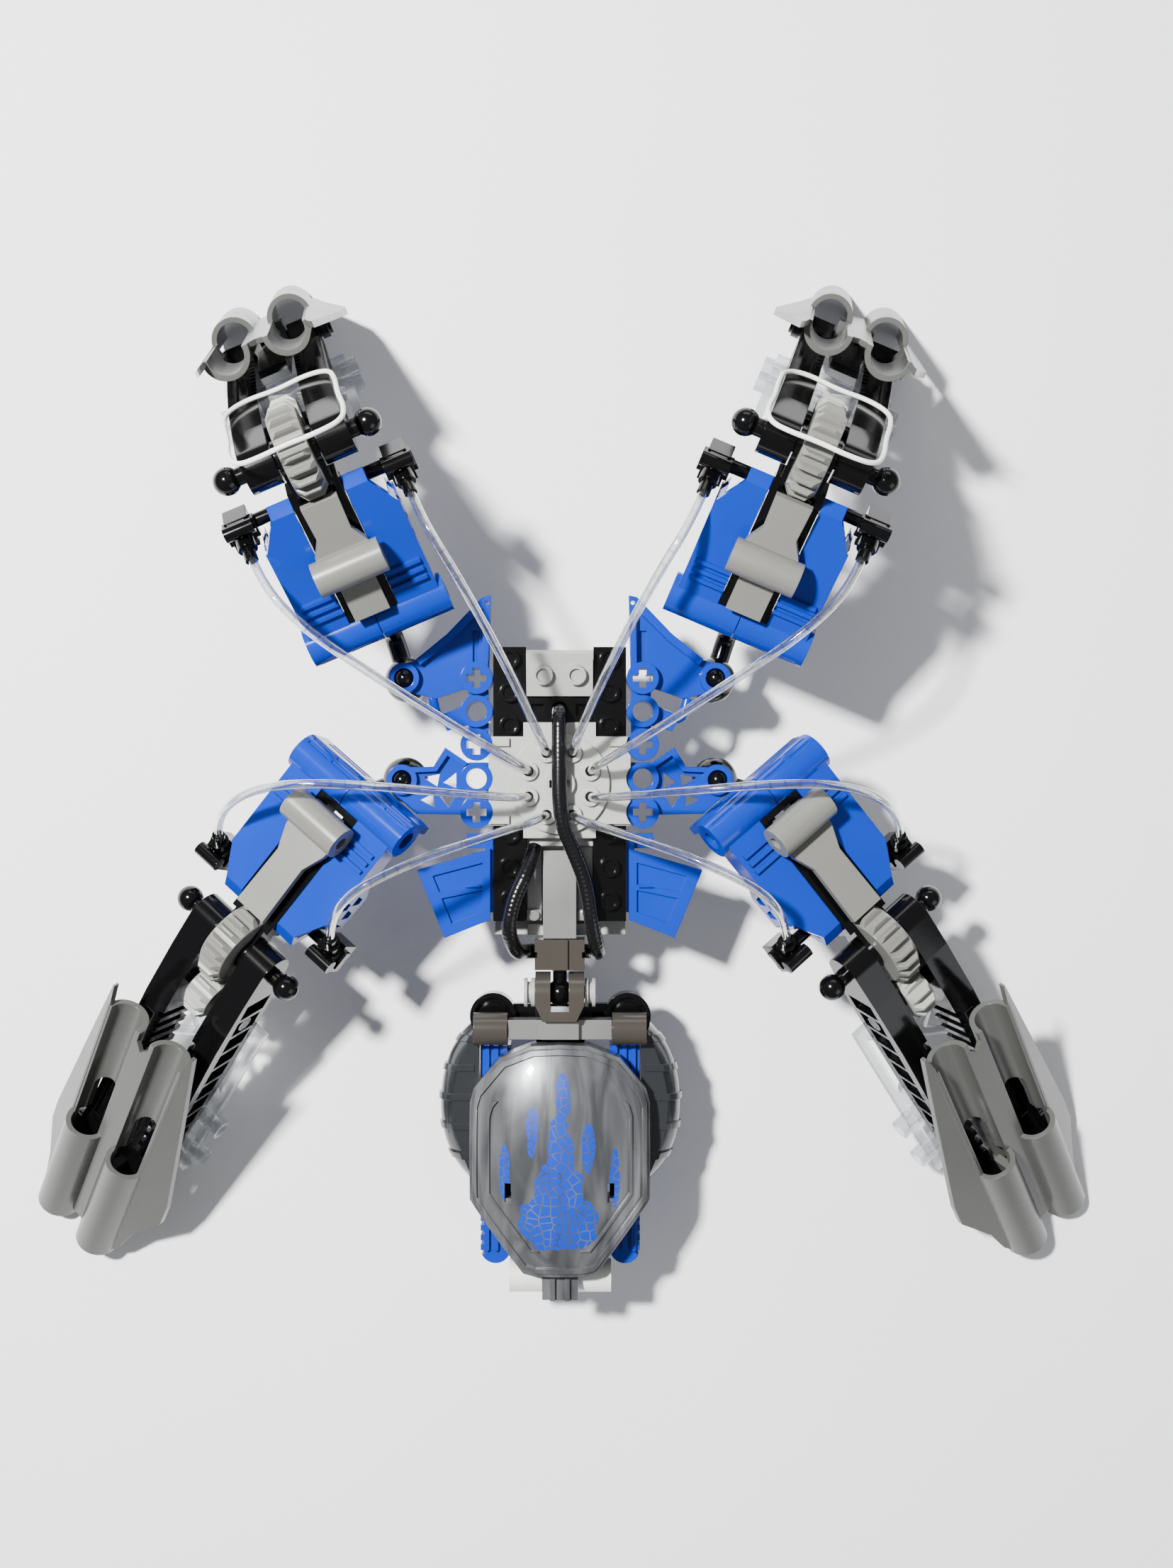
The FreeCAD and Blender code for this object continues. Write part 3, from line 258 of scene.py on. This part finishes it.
BLUE = plastic("blue plastic", (0.0006, 0.027, 0.31), 0.12, coat=0.04, specular=0.36)
FOOT_GREY = plastic("foot grey plastic", (0.076, 0.076, 0.071), 0.26, coat=0.02, specular=0.4)
GREY = plastic("grey plastic", (0.150, 0.149, 0.134), 0.30, coat=0.03)
LIGHT_GREY = plastic("light grey plastic", (0.32, 0.317, 0.295), 0.32, coat=0.03)
BLACK = plastic("black plastic", (0.0018, 0.0018, 0.0020), 0.11, coat=0.04, vary=0.2, specular=0.32)
DARK = plastic("dark grey plastic", (0.038, 0.033, 0.028), 0.18, coat=0.06, specular=0.4)
SILVER = plastic("silver plastic", (0.30, 0.297, 0.29), 0.24, metallic=0.7, coat=0.2)
WHITE = plastic("white plastic", (0.74, 0.73, 0.69), 0.3, coat=0.1)
RUBBER = plastic("white rubber", (0.84, 0.83, 0.79), 0.5, coat=0.0, grain=0.1)
SHELL = plastic("pearl dark shell", (0.05, 0.053, 0.058), 0.16, metallic=0.7, coat=0.2)
CLEAR = clear_plastic("clear grey strut", (0.62, 0.65, 0.67), 0.6, 0.08)
HOSE = hose_material()
NECK_HOSE = ribbed_black()
FACE = face_material()

LOOKS = {
    # body
    "deck_columns": BLACK, "belly_plate": LIGHT_GREY, "hub_plate": LIGHT_GREY, "rear_brick": BLACK,
    "rear_bracket": LIGHT_GREY, "rear_shoulders": BLUE, "front_shoulders": BLUE, "fenders": BLUE,
    "ball_pins": BLACK, "neck_beam": SILVER, "neck_block": DARK, "neck_hose": NECK_HOSE,
    # head
    "head_yoke": DARK, "yoke_discs": LIGHT_GREY, "cross_bar": SILVER, "side_shells": SHELL,
    "blue_pads": BLUE, "head_core": BLACK, "white_tubes": WHITE, "face_plate": FACE,
    # each limb
    "frame": BLACK, "covers": BLUE, "shield_gear": GREY, "ports": BLACK, "shins": BLACK,
    "strut": CLEAR, "band": RUBBER, "pinion": LIGHT_GREY, "foot": FOOT_GREY, "hoses": HOSE,
}


def finish_of(name):
    """The material of a node. A limb's nodes start with its name, as in rear_left_foot."""
    if name in LOOKS:
        return LOOKS[name]
    return LOOKS[name.split("_", 2)[2]]


for name, obj in frame["nodes"].items():
    obj.data.materials.clear()
    obj.data.materials.append(finish_of(name))


# ---------------------------------------------------------------- curves
def nurbs_curve(name, points, steps, closed=False):
    """A smooth spline that has these control points."""
    curve = bpy.data.curves.new(name, "CURVE")
    curve.dimensions = "3D"
    route = curve.splines.new("NURBS")
    route.points.add(len(points) - 1)
    for p, at in zip(route.points, points):
        p.co = (*at, 1)
    route.order_u = 3
    route.use_endpoint_u = not closed
    route.use_cyclic_u = closed
    route.resolution_u = steps
    return curve


def mesh_of(curve):
    """The curve's mesh. The curve itself is deleted."""
    holder = bpy.data.objects.new(curve.name, curve)
    mesh = bpy.data.meshes.new_from_object(holder)
    bpy.data.objects.remove(holder)
    bpy.data.curves.remove(curve)
    return mesh


def nurbs_line(points, steps):
    """Points along the spline that has these control points."""
    mesh = mesh_of(nurbs_curve("route", points, steps))
    line = [v.co.copy() for v in mesh.vertices]
    bpy.data.meshes.remove(mesh)
    return line


# ---------------------------------------------------------------- hoses
HOSE_R = 1.05                    # mm
HOSE_STEPS = 10                  # rings of mesh from one control point to the next
NECK_HOSE_R = 1.85
NECK_HOSE_STEPS = 32
NECK_HOSE_RIB = 0.07             # depth of its rings, and their distance along the hose (mm)
NECK_HOSE_PITCH = 1.1

# the clear hoses' control points (mm from the hub's centre), from the hub hole to the nozzle of each left
# limb, and mirrored on the right
HOSES = {
    "rear_left": [
        [(-7.4, 3.1, 38.2), (-7.4, 3.1, 43.4), (-10.2, 5.0, 51.4), (-21.8, 12.0, 60.9),
         (-37.8, 22.2, 72.6), (-53.6, 32.6, 78.4), (-64.1, 42.8, 79.0), (-67.9, 51.6, 74.7)],
        [(-3.1, 7.4, 38.2), (-3.1, 7.4, 43.4), (-4.0, 10.0, 51.4), (-8.4, 20.0, 59.6),
         (-15.2, 33.6, 70.8), (-22.4, 46.4, 77.0), (-29.4, 57.6, 78.9), (-33.1, 66.3, 74.7)],
    ],
    "front_left": [
        [(-7.4, -3.1, 38.2), (-7.4, -3.1, 43.4), (-10.8, -3.2, 51.4), (-24.6, -2.0, 59.5),
         (-45.0, -0.2, 65.0), (-61.5, 0.2, 64.2), (-73.0, -2.4, 61.0), (-80.0, -8.6, 51.4),
         (-80.9, -13.6, 42.3)],
        [(-3.1, -7.4, 38.2), (-3.1, -7.4, 43.4), (-5.6, -8.6, 51.4), (-15.0, -11.6, 58.6),
         (-27.4, -15.6, 66.8), (-38.6, -20.2, 69.6), (-47.2, -25.0, 69.6), (-52.0, -32.0, 61.3),
         (-53.0, -37.0, 52.1)],
    ],
}

# the black hose: out of the rear brick, over the hub, round under the neck block and back to the hub
NECK_ROUTE = [(0, 17.9, 33.5), (0, 17.9, 43.6), (0, 10.0, 45.0), (0, -8.0, 45.0), (3.4, -16.0, 43.4),
              (6.6, -24.0, 42.8), (7.8, -34.0, 42.2), (9.4, -40.8, 38.0), (8.8, -41.2, 27.0),
              (-8.8, -41.2, 27.0), (-10.4, -41.0, 36.0), (-12.4, -35.0, 42.6), (-10.8, -27.0, 43.0),
              (-7.2, -20.0, 42.4), (-5.9, -15.2, 38.4)]


def tube(name, line, radius, mat, sides=16, rib=0.0, rib_pitch=1.0):
    """Closed round tube mesh along a line of ring centres, with raised ribs where rib is above zero."""
    verts, faces, along = [], [], []
    up = Vector((0.3, 0.1, 1)).normalized()      # only has to differ from the way the hoses start
    travelled = 0.0
    for i, p in enumerate(line):
        ahead = (line[min(i + 1, len(line) - 1)] - line[max(i - 1, 0)]).normalized()
        side = ahead.cross(up)
        side = side.normalized() if side.length > 1e-4 else Vector((1, 0, 0))
        up = side.cross(ahead).normalized()
        if i:
            travelled += (p - line[i - 1]).length
        along.append(travelled)
        here = radius - rib * (0.5 - 0.5 * math.cos(2 * math.pi * travelled / rib_pitch))
        for k in range(sides):
            a = 2 * math.pi * k / sides
            verts.append(p + (side * math.cos(a) + up * math.sin(a)) * here)
    for i in range(len(line) - 1):
        for k in range(sides):
            a, b = i * sides + k, i * sides + (k + 1) % sides
            faces.append((a, b, b + sides, a + sides))
    faces.append(tuple(reversed(range(sides))))
    faces.append(tuple(range((len(line) - 1) * sides, len(line) * sides)))
    mesh = bpy.data.meshes.new(name)
    mesh.from_pydata([tuple(v) for v in verts], [], faces)
    layer = mesh.uv_layers.new(name="along")
    for loop in mesh.loops:
        layer.data[loop.index].uv = (along[loop.vertex_index // sides], (loop.vertex_index % sides) / sides)
    for p in mesh.polygons:
        p.use_smooth = True
    mesh.materials.append(mat)
    obj = bpy.data.objects.new(name, mesh)
    bpy.context.scene.collection.objects.link(obj)
    return obj, travelled


def in_row(points, sign=1):
    """Control points carried over to the row frame, in metres. A sign of -1 mirrors them."""
    return [Vector((sign * x, y + SHIFT_Y, z + SHIFT_Z)) * MM for x, y, z in points]


def lay_hose(name, points, radius, steps, mat, node_name, slot, **look):
    """A hose mesh on its route's spline, standing for its CAD node."""
    line = nurbs_line(points, steps)
    hose, length = tube(name, line, radius * MM, mat, **look)
    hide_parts(node_name)
    return hose


for limb, routes in HOSES.items():
    for sign, name in ((1, limb), (-1, limb.replace("left", "right"))):
        for k, route in enumerate(routes):
            pts = in_row(route, sign)
            hose = lay_hose("hose_%s_%d" % (name, k), pts, HOSE_R, HOSE_STEPS, HOSE,
                            name + "_hoses", "hose_clear")
            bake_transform(hose)

neck = lay_hose("neck_hose_sleeve", in_row(NECK_ROUTE), NECK_HOSE_R, NECK_HOSE_STEPS, NECK_HOSE, "neck_hose",
                "hose_black", sides=20, rib=NECK_HOSE_RIB * MM, rib_pitch=NECK_HOSE_PITCH * MM)
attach(neck, "chassis")


# ---------------------------------------------------------------- rubber bands
# loop of the rubber band in its shin's own axes: along the shin, along the axle, up (mm)
BAND_LOOP = [(-12.1, -1.0, 6.9), (-12.3, 6.0, 6.7), (-10.0, 12.2, 6.3), (-3.0, 13.4, 6.4),
             (5.0, 12.9, 6.8), (14.0, 13.3, 6.9), (21.0, 12.6, 6.9), (23.9, 7.0, 6.8),
             (23.4, 0.0, 6.4), (24.0, -7.5, 6.8), (20.5, -12.8, 6.9), (12.0, -13.2, 6.9),
             (3.0, -12.8, 6.8), (-4.0, -13.4, 6.4), (-10.8, -11.8, 6.3), (-12.4, -6.5, 6.7)]
BAND_R = 0.55                    # mm
BAND_STEPS = 6


def knee_band(limb):
    """The white rubber band looped round the shin heads of one rear limb."""
    knee, gear = (Vector(JOINTS[limb + end]["pos_m"]) for end in ("_knee", "_pinion_spin"))
    along = (gear - knee).normalized()
    across = Vector(JOINTS[limb + "_knee"]["axis"]).normalized()
    up = along.cross(across)
    up = up if up.z > 0 else -up
    loop = [knee + (along * x + across * y + up * z) * MM for x, y, z in BAND_LOOP]
    curve = nurbs_curve("band", loop, BAND_STEPS, closed=True)
    curve.bevel_depth = BAND_R * MM
    curve.bevel_resolution = 4
    mesh = mesh_of(curve)
    mesh.shade_smooth()
    mesh.materials.clear()
    mesh.materials.append(RUBBER)
    band = bpy.data.objects.new(limb + "_rubber_band", mesh)
    bpy.context.collection.objects.link(band)
    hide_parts(limb + "_band")
    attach(band, limb + "_shin")


knee_band("rear_left")
knee_band("rear_right")

# ---------------------------------------------------------------- stage, light and camera
FLOOR_HALF = 3.0                                 # m, as the other sizes in this section
LIT_POINT = Vector((0, 0, 0.03))
COOL_WHITE = (0.95, 0.97, 1.0)
CAMERA_AT = (6.46 * MM, SHIFT_Y * MM, 0.458)


def area(name, at, size, power, color=(1, 1, 1)):
    """An area light that points at the object."""
    light = bpy.data.lights.new(name, "AREA")
    light.shape = "RECTANGLE"
    light.size, light.size_y = size
    light.energy = power
    light.color = color
    obj = bpy.data.objects.new(name, light)
    obj.location = at
    obj.rotation_euler = (LIT_POINT - Vector(at)).to_track_quat("-Z", "Y").to_euler()
    bpy.context.scene.collection.objects.link(obj)


def floor():
    """The pale surface under the feet."""
    mesh = bpy.data.meshes.new("floor")
    corners = [(x * FLOOR_HALF, y * FLOOR_HALF, 0) for x, y in ((-1, -1), (1, -1), (1, 1), (-1, 1))]
    mesh.from_pydata(corners, [], [(0, 1, 2, 3)])
    obj = bpy.data.objects.new("floor", mesh)
    bpy.context.scene.collection.objects.link(obj)
    m, tree, bsdf = material("pale floor")
    set_inputs(bsdf, {"Base Color": (0.90, 0.895, 0.905, 1), "Roughness": 0.8})
    mesh.materials.append(m)


def sky():
    """Soft light from all round."""
    world = bpy.data.worlds.new("studio")
    bpy.context.scene.world = world
    world.use_nodes = True
    set_inputs(world.node_tree.nodes["Background"], {"Color": (*COOL_WHITE, 1), "Strength": 0.27})


def camera():
    """A view from straight above."""
    data = bpy.data.cameras.new("camera")
    data.sensor_fit = "VERTICAL"
    data.sensor_height = 24.0
    data.lens = 26.79
    data.clip_start = 0.01
    obj = bpy.data.objects.new("camera", data)
    obj.location = CAMERA_AT
    bpy.context.scene.collection.objects.link(obj)
    bpy.context.scene.camera = obj


floor()
sky()
area("key", (-0.31, 0.20, 0.80), (0.06, 0.06), 26.0)
area("fill", (0.75, -0.55, 0.55), (0.6, 0.6), 2.2, COOL_WHITE)
area("rear", (0.15, 0.95, 0.5), (0.8, 0.3), 2.2)
camera()
